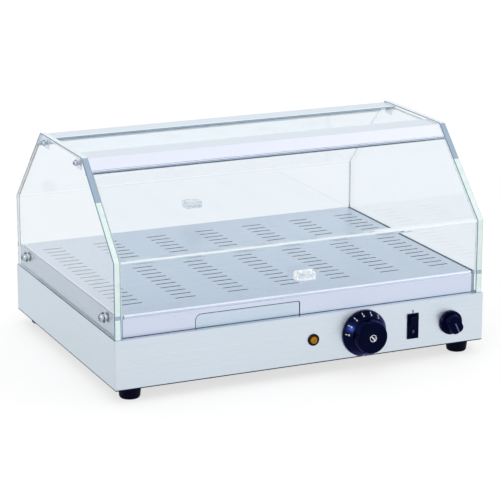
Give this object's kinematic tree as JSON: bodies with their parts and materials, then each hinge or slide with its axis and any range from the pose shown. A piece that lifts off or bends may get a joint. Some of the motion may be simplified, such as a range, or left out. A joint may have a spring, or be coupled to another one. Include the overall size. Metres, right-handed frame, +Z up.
{
  "type": "heated display case",
  "caption": "Counter-top heated display case: steel base with controls, perforated lift-out deck, clear gable ends and clear flap doors front and rear.",
  "frame": {"origin": "on the counter under the middle of the case", "axes": "+X to the right seen from the controls, -Y towards the controls, +Z up"},
  "size_m": [0.4972, 0.4066, 0.268],
  "materials": {
    "base_steel": "fine horizontal brushing",
    "plate_steel": "plain mill sheet",
    "deck_steel": "smooth satin",
    "tray_steel": "smooth satin",
    "rail_steel": "smooth satin",
    "clear_acrylic": "clear, polished edges",
    "bright_fasteners": "bright plated",
    "foot_rubber": "matt",
    "black_gloss": "semi-gloss moulded",
    "black_matte": "moulded",
    "amber_lens": "faceted, translucent",
    "white_plastic": "moulded",
    "element_sheath": "heat-darkened",
    "copper_tube": "drawn",
    "mineral_mat": "felted mineral fibre",
    "wire_sleeve": "silicone sleeve"
  },
  "bodies": {
    "base": {"front_wall": "base_steel", "rear_wall": "base_steel", "left_wall": "base_steel", "right_wall": "base_steel", "bottom_plate": "plate_steel", "heater_pan": "plate_steel", "tray_runners": "plate_steel", "element_clips": "plate_steel", "bulb_clips": "plate_steel", "front_rail": "rail_steel", "rear_rail": "rail_steel", "left_end_panel": "clear_acrylic", "right_end_panel": "clear_acrylic", "top_panel": "clear_acrylic", "end_panel_nuts": "bright_fasteners", "end_panel_washers": "bright_fasteners", "end_panel_bolts": "bright_fasteners", "rail_nuts": "bright_fasteners", "rail_screws": "bright_fasteners", "bottom_screws": "bright_fasteners", "foot_screws": "bright_fasteners", "foot_nuts": "bright_fasteners", "thermostat_screws": "bright_fasteners", "earth_stud": "bright_fasteners", "earth_nut": "bright_fasteners", "selector_nut": "bright_fasteners", "sensor_bulb": "bright_fasteners", "feet": "foot_rubber", "switch_frame": "black_gloss", "lamp_bezel": "black_gloss", "cord_gland": "black_matte", "gland_nut": "black_matte", "thermostat_body": "black_matte", "selector_body": "black_matte", "lamp_lens": "amber_lens", "lamp_body": "white_plastic", "terminal_block": "white_plastic", "front_element": "element_sheath", "rear_element": "element_sheath", "capillary": "copper_tube", "insulation": "mineral_mat", "wiring": "wire_sleeve"},
    "front_door": {"front_door": "clear_acrylic", "front_handle": "clear_acrylic", "front_hinge_rod": "bright_fasteners"},
    "rear_door": {"rear_door": "clear_acrylic", "rear_handle": "clear_acrylic", "rear_hinge_rod": "bright_fasteners"},
    "deck": {"deck": "deck_steel"},
    "drip_tray": {"drip_tray": "tray_steel"},
    "dial": {"dial": "black_gloss", "dial_cap": "bright_fasteners", "thermostat_spindle": "bright_fasteners"},
    "rocker": {"rocker": "black_gloss"},
    "selector": {"selector_knob": "black_gloss", "selector_spindle": "bright_fasteners"}
  },
  "joints": [
    {"name": "front_door_hinge", "type": "hinge", "parent": "base", "child": "front_door", "pos_m": [0, -0.08758, 0.25117], "axis": [-1, 0, 0], "range_deg": [0, 100]},
    {"name": "rear_door_hinge", "type": "hinge", "parent": "base", "child": "rear_door", "pos_m": [0, 0.08758, 0.25117], "axis": [1, 0, 0], "range_deg": [0, 100]},
    {"name": "deck_lift", "type": "slide", "parent": "base", "child": "deck", "axis": [0, 0, 1], "range_m": [0, 0.05]},
    {"name": "drip_tray_slide", "type": "slide", "parent": "base", "child": "drip_tray", "axis": [0, -1, 0], "range_m": [0, 0.15]},
    {"name": "dial_turn", "type": "hinge", "parent": "base", "child": "dial", "pos_m": [0.077, -0.178, 0.0455], "axis": [0, 1, 0], "range_deg": [0, 270]},
    {"name": "rocker_tilt", "type": "hinge", "parent": "base", "child": "rocker", "pos_m": [0.143, -0.178, 0.0455], "axis": [-1, 0, 0], "range_deg": [0, 19]},
    {"name": "selector_turn", "type": "hinge", "parent": "base", "child": "selector", "pos_m": [0.1948, -0.178, 0.0437], "axis": [0, 1, 0], "range_deg": [-150, 0]}
  ]
}
